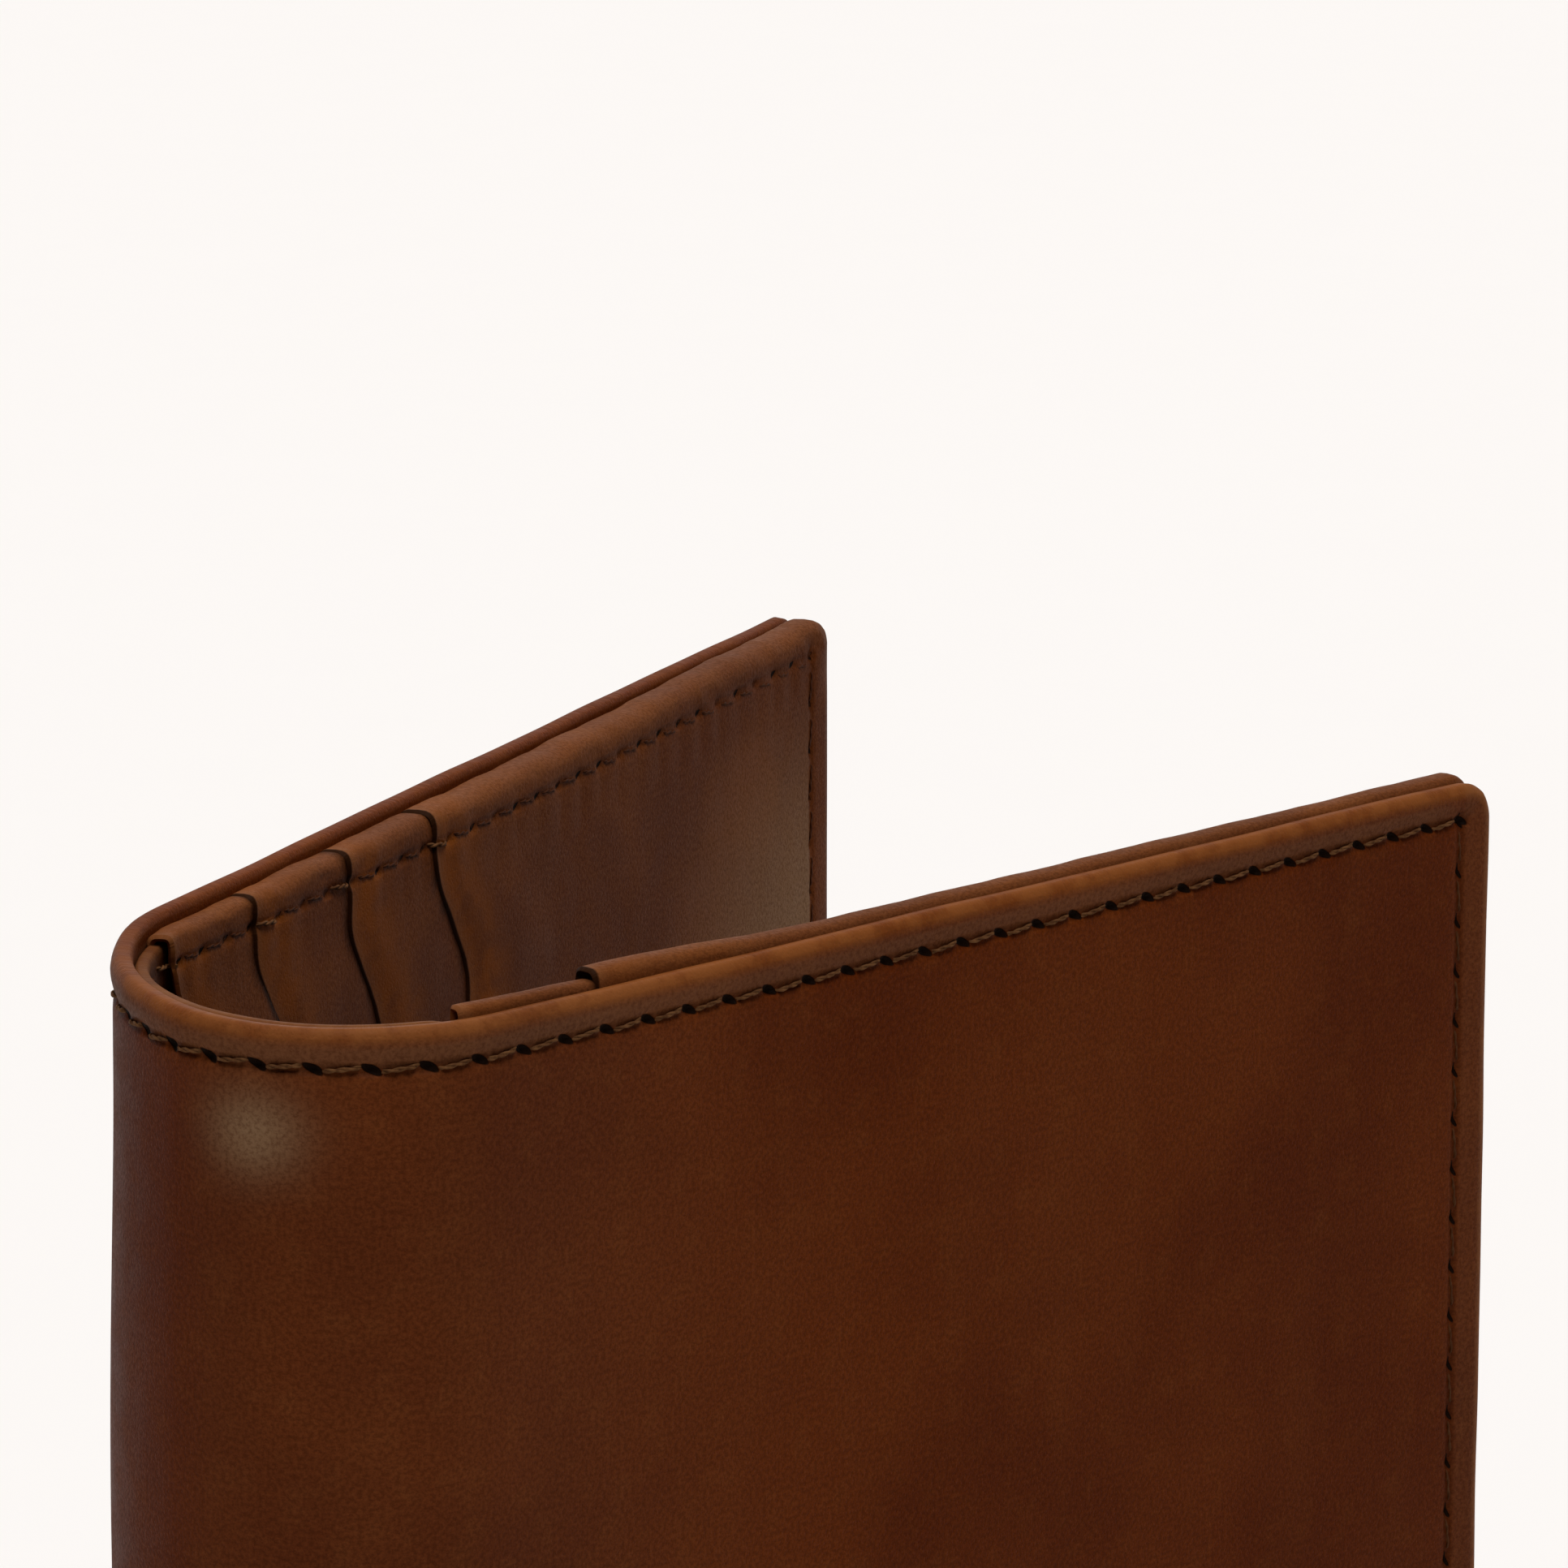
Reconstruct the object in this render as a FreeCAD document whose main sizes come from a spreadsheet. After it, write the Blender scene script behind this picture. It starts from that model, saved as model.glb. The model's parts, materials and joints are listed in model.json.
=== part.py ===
r"""Bifold wallet: two sewn leather halves joined by a soft spine.

Plan view, seen from above (+Z is up, the spine is at -X, both halves open towards +X):

              back half, card pockets on its inner face
           ______________________________________________
          /
         (  spine, four folds
          \______________________________________________
              front half, two note pockets on its inner face

The outer leather is one strip of hide. It runs straight along the back half, bends round the spine
in two arcs and runs straight along the front half. Here the spine is cut into narrow strips, each
hinged to the next on the strip's inner face, so that the wallet can close and lie flat.
Dimensions are in millimetres and angles in degrees. The origin is the bottom centre of the box
round the half-open wallet.
"""
import FreeCAD, Part
import math
import os

import Sketcher

doc = FreeCAD.newDocument("bifold_wallet")

# ---------------------------------------------------------------- driving dimensions

DIMENSIONS = [
    ("wallet_height", 115.0, "spine length, bottom edge to top edge"),
    ("back_straight", 78.6, "flat part of the back half, outer edge to the start of the bend"),
    ("front_straight", 71.0, "flat part of the front half"),
    ("back_bend_radius", 19.7, "outer radius of the spine beside the back half"),
    ("back_bend_angle", 56.0, "turn of the spine beside the back half"),
    ("front_bend_radius", 10.2, "outer radius of the spine beside the front half"),
    ("front_bend_angle", 102.0, "turn of the spine beside the front half"),
    ("back_bend_folds", 2, "hinge lines in the back bend"),
    ("front_bend_folds", 2, "hinge lines in the front bend"),
    ("fold_gap", 0.3, "free width between two neighbouring strips"),
    ("cover_thickness", 1.0, "outer leather with its turned hem"),
    ("hem_depth", 0.5, "thickness of the turned hem alone"),
    ("hem_width", 8.0, "width of the turned hem"),
    ("lining_thickness", 0.5, "inner skin"),
    ("pocket_thickness", 0.45, "one pocket panel"),
    ("board_clearance", 0.3, "room between the board and the hem"),
    ("corner_radius", 2.4, "outer corners"),
    ("panel_inset", 0.4, "lining and pockets stop this short of the cover's edge"),
    ("card_mouth_first", -4.0, "mouth of the first card pocket, from the start of the bend"),
    ("card_mouth_step", 9.8, "distance between card pocket mouths"),
    ("card_mouth_second", 5.1, "mouth of the second card pocket"),
    ("note_mouth_rear", -2.0, "mouth of the rear note pocket"),
    ("note_mouth_front", 6.8, "mouth of the front note pocket"),
    ("stitch_margin", 1.9, "long seams to the top and bottom edges"),
    ("back_side_margin", 3.8, "the back half's short seam to its outer edge"),
    ("front_side_margin", 2.5, "the front half's short seam to its outer edge"),
    ("thread_width", 0.5, "sewing thread"),
    ("thread_rise", 0.25, "how far the thread stands proud of the leather"),
]

sheet = doc.addObject("Spreadsheet::Sheet", "Dimensions")
for row, (alias, value, meaning) in enumerate(DIMENSIONS, start=1):
    sheet.set("A%d" % row, meaning)
    sheet.set("B%d" % row, str(value))
    sheet.setAlias("B%d" % row, alias)
doc.recompute()


def size(alias):
    """Value of one driving dimension."""
    return float(getattr(sheet, alias))


# ---------------------------------------------------------------- plan of the folded hide

LEATHER = size("cover_thickness") + size("lining_thickness")
OPENING = 180.0 - size("back_bend_angle") - size("front_bend_angle")


def heading(angle):
    """Unit vector in plan."""
    return FreeCAD.Vector(math.cos(math.radians(angle)), math.sin(math.radians(angle)), 0)


def fold_lines():
    """Hinge axes of the spine in plan, each with the turn it makes.

    The inner face of the spine is replaced by straight sides that touch its two arcs, so each
    hinge axis is where two neighbouring sides meet.
    """
    start = FreeCAD.Vector(0, 0, 0)
    angle = 180.0 + OPENING / 2
    folds = []
    for bend in ("back", "front"):
        count = int(size(bend + "_bend_folds"))
        turn = size(bend + "_bend_angle") / count
        inner_radius = size(bend + "_bend_radius") - LEATHER
        half_side = inner_radius * math.tan(math.radians(turn / 2))
        for _ in range(count):
            axis = start + heading(angle) * half_side
            folds.append((axis, turn, angle))
            angle += turn
            start = axis + heading(angle) * half_side
    return folds, start, angle


FOLDS, FRONT_START, FRONT_ANGLE = fold_lines()
BACK_ANGLE = OPENING / 2
BACK_REACH = (FOLDS[0][0] - FreeCAD.Vector(0, 0, 0)).Length
FRONT_REACH = (FRONT_START - FOLDS[-1][0]).Length


def plan_placement(point, angle):
    """Placement whose X axis points along the given plan angle."""
    return FreeCAD.Placement(point, FreeCAD.Rotation(FreeCAD.Vector(0, 0, 1), angle))


# A half's own frame starts at its hinge axis, X runs along the half to its outer edge and the
# inner face of the lining is the plane Y = 0. The back half's inside is -Y, the front half's +Y.
HALVES = {
    "back": {"placement": plan_placement(FOLDS[0][0], BACK_ANGLE), "inward": -1,
             "reach": BACK_REACH},
    "front": {"placement": plan_placement(FOLDS[-1][0], FRONT_ANGLE), "inward": 1,
              "reach": FRONT_REACH},
}

# ---------------------------------------------------------------- shared builders

pieces = {}


def keep(name, obj, placement):
    """Name a finished sub-part and put it in its place."""
    obj.Label = name
    obj.Placement = placement
    pieces[name] = obj
    return obj


def bind(obj, formulas):
    """Tie properties of an object to formulas of the sheet's cells."""
    for target, formula in formulas.items():
        obj.setExpression(target, formula)


def outline(body, name, x, z, level, length, height, corner=None):
    """Plate outline in the XZ plane, tied to the sheet.

    x and z place its lower corner, level is its depth along -Y. With a corner formula its two
    corners at the far end are rounded.
    """
    sketch = body.newObject("Sketcher::SketchObject", name)
    plane = next(item for item in body.Origin.OriginFeatures if item.Role == "XZ_Plane")
    sketch.AttachmentSupport = [(plane, "")]
    sketch.MapMode = "FlatFace"
    bind(sketch, {"AttachmentOffset.Base.x": x, "AttachmentOffset.Base.y": z,
                  "AttachmentOffset.Base.z": level})

    def line(x1, y1, x2, y2):
        segment = Part.LineSegment(FreeCAD.Vector(x1, y1, 0), FreeCAD.Vector(x2, y2, 0))
        return sketch.addGeometry(segment, False)

    def arc(x1, y1, first, last):
        circle = Part.Circle(FreeCAD.Vector(x1, y1, 0), FreeCAD.Vector(0, 0, 1), 2)
        turned = Part.ArcOfCircle(circle, math.radians(first), math.radians(last))
        return sketch.addGeometry(turned, False)

    def constrain(*args, label=None):
        index = sketch.addConstraint(Sketcher.Constraint(*args))
        if label:
            sketch.renameConstraint(index, label)

    inset = 2 if corner else 0
    bottom = line(0, 0, 60 - inset, 0)
    far = line(60, inset, 60, 100 - inset)
    top = line(60 - inset, 100, 0, 100)
    near = line(0, 100, 0, 0)
    constrain("Horizontal", bottom)
    constrain("Vertical", far)
    constrain("Horizontal", top)
    constrain("Vertical", near)
    constrain("Coincident", top, 2, near, 1)
    constrain("Coincident", near, 2, bottom, 1)
    constrain("Coincident", bottom, 1, -1, 1)
    if corner:
        low = arc(60 - inset, inset, -90, 0)
        high = arc(60 - inset, 100 - inset, 0, 90)
        constrain("Tangent", bottom, 2, low, 1)
        constrain("Tangent", low, 2, far, 1)
        constrain("Tangent", far, 2, high, 1)
        constrain("Tangent", high, 2, top, 1)
        constrain("Equal", low, high)
        constrain("Radius", low, 2.0, label="corner")
        bind(sketch, {"Constraints.corner": corner})
    else:
        constrain("Coincident", bottom, 2, far, 1)
        constrain("Coincident", far, 2, top, 1)
    constrain("DistanceX", -1, 1, far, 1, 60.0, label="length")
    constrain("DistanceY", -1, 1, top, 1, 100.0, label="height")
    bind(sketch, {"Constraints.length": length, "Constraints.height": height})
    sketch.Visibility = False
    return sketch


def plate(name, half, x, level, thickness, inset):
    """Flat panel of one half, from x to the outer edge, inset from the cover's outline.

    level counts inwards from the lining's inner face, so the cover's own level is negative.
    """
    inward = HALVES[half]["inward"]
    reach = "%.9g" % HALVES[half]["reach"]
    body = doc.addObject("PartDesign::Body", name + "_body")
    sketch = outline(
        body, name + "_outline", x, inset, "%d * (%s)" % (-inward, level),
        "%s + Dimensions.%s_straight - (%s) - (%s)" % (reach, half, inset, x),
        "Dimensions.wallet_height - 2 * (%s)" % inset,
        "Dimensions.corner_radius - (%s)" % inset)
    pad = body.newObject("PartDesign::Pad", name + "_pad")
    pad.Profile = sketch
    pad.Reversed = inward > 0
    bind(pad, {"Length": thickness})
    body.Tip = pad
    return keep(name, body, HALVES[half]["placement"])


# ---------------------------------------------------------------- the two halves

GAP = "Dimensions.fold_gap / 2"
INSET = "Dimensions.panel_inset"
COVER_LEVEL = "-(Dimensions.cover_thickness + Dimensions.lining_thickness)"
BOARD_LEVEL = "-(Dimensions.hem_depth + Dimensions.lining_thickness)"


def cover(half):
    """Outer leather of one half with a recess for the board, framed by the turned hem."""
    name = "cover_" + half
    inward = HALVES[half]["inward"]
    body = plate(name, half, GAP, COVER_LEVEL, "Dimensions.cover_thickness", "0 * Dimensions.panel_inset")
    doc.recompute()
    before = body.Shape.Volume
    sketch = outline(
        body, name + "_recess", "Dimensions.hem_width", "Dimensions.hem_width",
        "%d * (%s)" % (-inward, BOARD_LEVEL),
        "%.9g + Dimensions.%s_straight - 2 * Dimensions.hem_width" % (HALVES[half]["reach"], half),
        "Dimensions.wallet_height - 2 * Dimensions.hem_width")
    pocket = body.newObject("PartDesign::Pocket", name + "_pocket")
    pocket.Profile = sketch
    pocket.Reversed = inward < 0
    bind(pocket, {"Length": "Dimensions.hem_depth"})
    body.Tip = pocket
    doc.recompute()
    if body.Shape.Volume > 0.9 * before:
        raise RuntimeError(name + ": the board recess cut nothing")


def board(half):
    """Stiffening board that fills the recess of the cover."""
    name = "stiffener_" + half
    edge = "Dimensions.hem_width + Dimensions.board_clearance"
    inward = HALVES[half]["inward"]
    body = doc.addObject("PartDesign::Body", name + "_body")
    sketch = outline(
        body, name + "_outline", edge, edge, "%d * (%s)" % (-inward, BOARD_LEVEL),
        "%.9g + Dimensions.%s_straight - 2 * (%s)" % (HALVES[half]["reach"], half, edge),
        "Dimensions.wallet_height - 2 * (%s)" % edge)
    pad = body.newObject("PartDesign::Pad", name + "_pad")
    pad.Profile = sketch
    pad.Reversed = inward > 0
    bind(pad, {"Length": "Dimensions.hem_depth"})
    body.Tip = pad
    keep(name, body, HALVES[half]["placement"])


def pocket_panels(half, labels, mouths):
    """Pocket panels stacked on the lining, the one with the mouth nearest the spine first."""
    reach = "%.9g" % HALVES[half]["reach"]
    for layer, (label, mouth) in enumerate(zip(labels, mouths)):
        plate(label, half, "%s + %s" % (reach, mouth),
              "%d * Dimensions.pocket_thickness" % layer, "Dimensions.pocket_thickness", INSET)


CARD_POCKETS = 4
CARD_MOUTHS = ["Dimensions.card_mouth_first"] + [
    "Dimensions.card_mouth_second + %d * Dimensions.card_mouth_step" % step
    for step in range(CARD_POCKETS - 1)]
NOTE_MOUTHS = ["Dimensions.note_mouth_rear", "Dimensions.note_mouth_front"]

for side in HALVES:
    cover(side)
    board(side)
    plate("lining_" + side, side, GAP, "-Dimensions.lining_thickness",
          "Dimensions.lining_thickness", INSET)
pocket_panels("back", ["card_pocket_%d" % (n + 1) for n in range(CARD_POCKETS)], CARD_MOUTHS)
pocket_panels("front", ["note_pocket_rear", "note_pocket_front"], NOTE_MOUTHS)

# ---------------------------------------------------------------- the spine


def strip(name, x, z, level, length, height, thickness, placement):
    """Flat strip of the spine between two hinge axes, its inside towards +Y."""
    body = doc.addObject("PartDesign::Body", name + "_body")
    sketch = outline(body, name + "_outline", x, z, level, length, height)
    pad = body.newObject("PartDesign::Pad", name + "_pad")
    pad.Profile = sketch
    pad.Reversed = True
    bind(pad, {"Length": thickness})
    body.Tip = pad
    return keep(name, body, placement)


for number, ((axis, turn, angle), (next_axis, _, _)) in enumerate(zip(FOLDS, FOLDS[1:]), start=1):
    side_length = (next_axis - axis).Length
    place = plan_placement(axis, angle + turn)
    span = "%.9g - Dimensions.fold_gap" % side_length
    strip("cover_spine_%d" % number, GAP, "0 * Dimensions.fold_gap",
          "Dimensions.cover_thickness + Dimensions.lining_thickness", span,
          "Dimensions.wallet_height", "Dimensions.cover_thickness", place)
    strip("lining_spine_%d" % number, GAP, INSET, "Dimensions.lining_thickness", span,
          "Dimensions.wallet_height - 2 * Dimensions.panel_inset",
          "Dimensions.lining_thickness", place)

# ---------------------------------------------------------------- the sewing thread


def thread(name, runs, placement):
    """Visible thread of one seam: straight runs lying on the leather, kept as one node.

    Each run is (x, y, z, length, rise, height): its low corner and its size along X, Y and Z.
    """
    boxes = []
    for index, run in enumerate(runs):
        box = doc.addObject("Part::Box", "%s_run_%d" % (name, index))
        x, y, z, length, rise, height = run
        bind(box, {"Placement.Base.x": x, "Placement.Base.y": y, "Placement.Base.z": z,
                   "Length": length, "Width": rise, "Height": height})
        boxes.append(box)
    group = doc.addObject("Part::Compound", name + "_runs")
    group.Links = boxes
    return keep(name, group, placement)


RISE = "Dimensions.thread_rise"
WIDTH = "Dimensions.thread_width"
LOW = "Dimensions.stitch_margin - Dimensions.thread_width / 2"
HIGH = "Dimensions.wallet_height - Dimensions.stitch_margin - Dimensions.thread_width / 2"


def half_thread(half, mouths):
    """Seam round three sides of a half, outside on the cover and inside on the pocket panels."""
    inward = HALVES[half]["inward"]
    reach = "%.9g" % HALVES[half]["reach"]
    far = "%s + Dimensions.%s_straight - Dimensions.%s_side_margin - %s / 2" % (
        reach, half, half, WIDTH)
    tall = "Dimensions.wallet_height - 2 * Dimensions.stitch_margin"

    def depth(level):
        """Y of a run's low side when it lies on the face at this level, facing inwards."""
        if inward > 0:
            return "%s" % level
        return "-(%s) - %s" % (level, RISE)

    outside = "%s - %s" % (COVER_LEVEL, RISE) if inward > 0 else "-(%s)" % COVER_LEVEL
    runs = [(GAP, outside, edge, "%s - %s" % (far, GAP), RISE, WIDTH) for edge in (LOW, HIGH)]
    runs.append((far, outside, LOW, WIDTH, RISE, tall + " + " + WIDTH))
    starts = ["%s + %s + %s" % (reach, mouth, GAP) for mouth in mouths]
    for layer, start in enumerate(starts, start=1):
        level = "%d * Dimensions.pocket_thickness" % layer
        if layer < len(starts):
            end = "%s + %s - %s" % (reach, mouths[layer], GAP)
        else:
            end = far
        for edge in (LOW, HIGH):
            runs.append((start, depth(level), edge, "%s - (%s)" % (end, start), RISE, WIDTH))
    runs.append((far, depth("%d * Dimensions.pocket_thickness" % len(mouths)), LOW, WIDTH, RISE,
                 tall + " + " + WIDTH))
    thread("thread_" + half, runs, HALVES[half]["placement"])


half_thread("back", CARD_MOUTHS)
half_thread("front", NOTE_MOUTHS)
for number, ((axis, turn, angle), (next_axis, _, _)) in enumerate(zip(FOLDS, FOLDS[1:]), start=1):
    span = "%.9g - Dimensions.fold_gap" % (next_axis - axis).Length
    faces = ("-(Dimensions.cover_thickness + Dimensions.lining_thickness) - " + RISE, "0 * " + RISE)
    thread("thread_spine_%d" % number,
           [(GAP, face, edge, span, RISE, WIDTH) for face in faces for edge in (LOW, HIGH)],
           plan_placement(axis, angle + turn))

# ---------------------------------------------------------------- centre, check and write

doc.recompute()
bounds = FreeCAD.BoundBox()
for piece in pieces.values():
    bounds.add(piece.Shape.BoundBox)
to_origin = FreeCAD.Vector(-bounds.Center.x, -bounds.Center.y, -bounds.ZMin)
for piece in pieces.values():
    placement = piece.Placement
    placement.Base = placement.Base + to_origin
    piece.Placement = placement
doc.recompute()

for item in doc.Objects:
    if "Invalid" in item.State or "Error" in item.State:
        raise RuntimeError("%s failed to recompute: %s" % (item.Name, item.State))
os.makedirs("parts", exist_ok=True)
for name, piece in pieces.items():
    if piece.Shape.isNull() or not piece.Shape.isValid():
        raise RuntimeError(name + " has no valid shape")
    piece.Shape.exportStep("parts/%s.step" % name)
    print("%-20s %8.1f mm3" % (name, piece.Shape.Volume))
for number, (axis, turn, _) in enumerate(FOLDS, start=1):
    print("fold_%d at %.4f, %.4f, turn %.4f" % (number, axis.x + to_origin.x, axis.y + to_origin.y, turn))
cover_middle = HALVES["back"]["placement"].multVec(
    FreeCAD.Vector(size("back_straight") / 2, LEATHER - size("cover_thickness") / 2, 0)) + to_origin
print("base face at %.4f, %.4f" % (cover_middle.x, cover_middle.y))
print("size %.2f x %.2f x %.2f mm" % (bounds.XLength, bounds.YLength, bounds.ZLength))
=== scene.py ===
"""Bifold wallet, half open: the leather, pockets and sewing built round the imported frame.

The outer leather is one hide. A place on it has two coordinates in millimetres: u runs along the
outer face from the back half's bend start (0) round the spine to the front half, and z runs up.
A third one, d, counts inwards from the outer face. place() takes (u, d, z) to the row frame.
On a half, x is the distance from its bend start towards its outer edge.
"""
import json
import math

import bmesh
import bpy
import numpy as np
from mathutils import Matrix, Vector

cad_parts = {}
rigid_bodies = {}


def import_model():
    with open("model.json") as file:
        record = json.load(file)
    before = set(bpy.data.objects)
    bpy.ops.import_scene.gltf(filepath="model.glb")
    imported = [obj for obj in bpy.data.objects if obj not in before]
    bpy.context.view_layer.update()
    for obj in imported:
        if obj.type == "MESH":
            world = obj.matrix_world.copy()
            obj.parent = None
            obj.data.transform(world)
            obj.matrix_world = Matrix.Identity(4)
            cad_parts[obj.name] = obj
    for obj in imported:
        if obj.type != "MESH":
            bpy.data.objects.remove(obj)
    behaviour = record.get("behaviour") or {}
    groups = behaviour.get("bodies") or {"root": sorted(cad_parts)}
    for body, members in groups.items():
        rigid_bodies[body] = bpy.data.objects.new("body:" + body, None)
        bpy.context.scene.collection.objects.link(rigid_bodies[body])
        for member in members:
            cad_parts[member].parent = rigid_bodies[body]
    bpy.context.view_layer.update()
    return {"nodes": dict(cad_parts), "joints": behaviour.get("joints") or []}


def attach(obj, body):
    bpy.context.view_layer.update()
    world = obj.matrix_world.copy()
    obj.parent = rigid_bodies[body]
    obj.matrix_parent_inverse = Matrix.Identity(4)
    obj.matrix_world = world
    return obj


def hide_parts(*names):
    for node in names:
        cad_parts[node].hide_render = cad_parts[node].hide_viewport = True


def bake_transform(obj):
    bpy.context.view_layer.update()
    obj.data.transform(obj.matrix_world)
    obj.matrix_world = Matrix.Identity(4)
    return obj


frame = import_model()
MM = 0.001

# ---------------------------------------------------------------- what the frame says


def unit(angle):
    """Plan direction at an angle in radians."""
    return np.array([math.cos(angle), math.sin(angle)])


# The four fold lines in plan, how far each turns to lay the wallet flat, and the angle between the
# halves at rest. Folds 1 and 2 share one curve of the spine, and folds 3 and 4 the other.
FOLDS = np.array([joint["pos_m"][:2] for joint in frame["joints"]]) / MM
TURNS = np.radians([round(-joint["range_deg"][0], 2) for joint in frame["joints"]])
OPENING = math.pi - TURNS.sum()
# Half the distance between two folds of the same curve.
BACK_SIDE = np.linalg.norm(FOLDS[1] - FOLDS[0]) / 2
FRONT_SIDE = np.linalg.norm(FOLDS[3] - FOLDS[2]) / 2
# For each half: its fold line, the plan directions outwards and inwards, and that half distance.
HALVES = {
    "back": (FOLDS[0], unit(OPENING / 2), -unit(OPENING / 2 + math.pi / 2), BACK_SIDE),
    "front": (FOLDS[-1], unit(-OPENING / 2), unit(math.pi / 2 - OPENING / 2), FRONT_SIDE),
}


def smooth(low, high, value):
    """0 below low, 1 above high, an even curve between."""
    t = np.clip((value - low) / (high - low), 0, 1)
    return t * t * (3 - 2 * t)


def extent(node, half):
    """Lowest and highest (x, depth inside the lining's face, z) of a CAD node, in millimetres."""
    axis, outwards, inwards, side = HALVES[half]
    points = np.array([v.co for v in frame["nodes"][node].data.vertices]) / MM
    plan = points[:, :2] - axis
    local = np.column_stack([plan @ outwards - side, plan @ inwards, points[:, 2]])
    return local.min(0), local.max(0)


COVER_LOW, COVER_HIGH = extent("cover_back", "back")
LEATHER = -COVER_LOW[1]
COVER = COVER_HIGH[1] - COVER_LOW[1]
HEIGHT = COVER_HIGH[2]
LENGTH = {"back": COVER_HIGH[0], "front": extent("cover_front", "front")[1][0]}
INSET = extent("lining_back", "back")[0][2]
BOARD_CLEARANCE = 0.3
BOARD_INSET = extent("stiffener_back", "back")[0][2] - BOARD_CLEARANCE
BACK_RADIUS = BACK_SIDE / math.tan(TURNS[0] / 2) + LEATHER
FRONT_RADIUS = FRONT_SIDE / math.tan(TURNS[2] / 2) + LEATHER
BACK_ARC = BACK_RADIUS * (TURNS[0] + TURNS[1])
FRONT_ARC = FRONT_RADIUS * (TURNS[2] + TURNS[3])
U_FRONT = BACK_ARC + FRONT_ARC
U_LOW = -LENGTH["back"]
U_HIGH = U_FRONT + LENGTH["front"]
# Where the hide is cut between two fold zones, and the bodies on both sides of each fold.
CUTS = [BACK_RADIUS * TURNS[0], BACK_ARC, BACK_ARC + FRONT_RADIUS * TURNS[2]]
BODIES = [frame["joints"][0]["parent"]] + [joint["child"] for joint in frame["joints"]]
CORNER = 2.1
THREAD_WIDTH = 0.5
# How far the seam lies inside the long edges, and inside each half's outer edge.
MARGIN = HEIGHT - extent("thread_back", "back")[1][2] + THREAD_WIDTH / 2
SIDE_MARGIN = {half: LENGTH[half] - extent("thread_" + half, half)[1][0] + THREAD_WIDTH / 2
               for half in HALVES}
# How much lower the front half's top edge stands than the back half's.
FRONT_LOW = 0.42
# Where a soft highlight is painted beside the spine, as (u, z).
PAINTED_HIGHLIGHT_SPOT = (BACK_ARC + 5.6, HEIGHT - 5.2)
BEND_START = FOLDS[0] + BACK_SIDE * HALVES["back"][1] - LEATHER * HALVES["back"][2]
SWELL_AT_ENDS = 0.2
SWELL_GAIN = 0.55


def spine_swell(u, z):
    """How far the spine stands out past its even bend: little at the ends, most at mid height."""
    drop = np.minimum(z, HEIGHT - z)
    return (SWELL_AT_ENDS + SWELL_GAIN * smooth(0, 30, drop)) * smooth(0, 5, u) * smooth(0, 8, U_FRONT - u)


def place(u, d, z):
    """Row-frame points in metres of places on the hide."""
    d = d - spine_swell(u, z)
    z = z - FRONT_LOW * smooth(0, U_FRONT, u) * smooth(HEIGHT - 40, HEIGHT, z)
    back = np.clip(u, 0, BACK_ARC) / BACK_RADIUS
    front = np.clip(u - BACK_ARC, 0, FRONT_ARC) / FRONT_RADIUS
    first = math.pi + OPENING / 2
    second = first + BACK_ARC / BACK_RADIUS
    last = second + FRONT_ARC / FRONT_RADIUS
    before = np.minimum(u, 0)
    after = np.maximum(u - U_FRONT, 0)
    heading = first + back + front
    x = (BEND_START[0] + before * math.cos(first) + after * math.cos(last)
         + BACK_RADIUS * (np.sin(first + back) - math.sin(first))
         + FRONT_RADIUS * (np.sin(second + front) - math.sin(second)) - d * np.sin(heading))
    y = (BEND_START[1] + before * math.sin(first) + after * math.sin(last)
         - BACK_RADIUS * (np.cos(first + back) - math.cos(first))
         - FRONT_RADIUS * (np.cos(second + front) - math.cos(second)) + d * np.cos(heading))
    return np.stack([x, y, z + 0 * x], axis=-1) * MM


def hide_u(half, x):
    """u of a distance x out from a half's bend start."""
    return -x if half == "back" else U_FRONT + x


# ---------------------------------------------------------------- shared shapes


def wander(value, seed, length, size):
    """Slow irregular wave along a line: what hand-turned leather edges do."""
    random = np.random.default_rng(seed)
    total = 0 * value
    for step in (1.0, 0.53, 0.29):
        phase = random.uniform(0, 2 * math.pi)
        total = total + step * np.sin(2 * math.pi * value / (length * step) + phase)
    return total * size / 1.8


def mottle(a, b, seed, length, size):
    """Slow irregular relief over a face."""
    random = np.random.default_rng(seed)
    total = 0 * (a + b)
    for _ in range(6):
        angle = random.uniform(0, math.pi)
        wave = length * random.uniform(0.6, 1.6)
        phase = random.uniform(0, 2 * math.pi)
        total = total + np.sin(2 * math.pi * (a * math.cos(angle) + b * math.sin(angle)) / wave + phase)
    return total * size / 2.5


# The seam is a rectangle round the hide: its middle and half sizes, and its stitches.
SEAM_MIDDLE = (U_LOW + SIDE_MARGIN["back"] + U_HIGH - SIDE_MARGIN["front"]) / 2
SEAM_HALF = U_HIGH - SIDE_MARGIN["front"] - SEAM_MIDDLE
SEAM_TALL = HEIGHT / 2 - MARGIN
PITCH = 2.7
STITCHES_LONG = round(2 * SEAM_HALF / PITCH)
STITCHES_TALL = round(2 * SEAM_TALL / PITCH)
PITCH_LONG = 2 * SEAM_HALF / STITCHES_LONG
PITCH_TALL = 2 * SEAM_TALL / STITCHES_TALL
GROOVE = 0.10
GROOVE_WIDTH = 0.45
PIT = 0.30
PIT_LONG = 0.36
PIT_WIDE = 0.24


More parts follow.
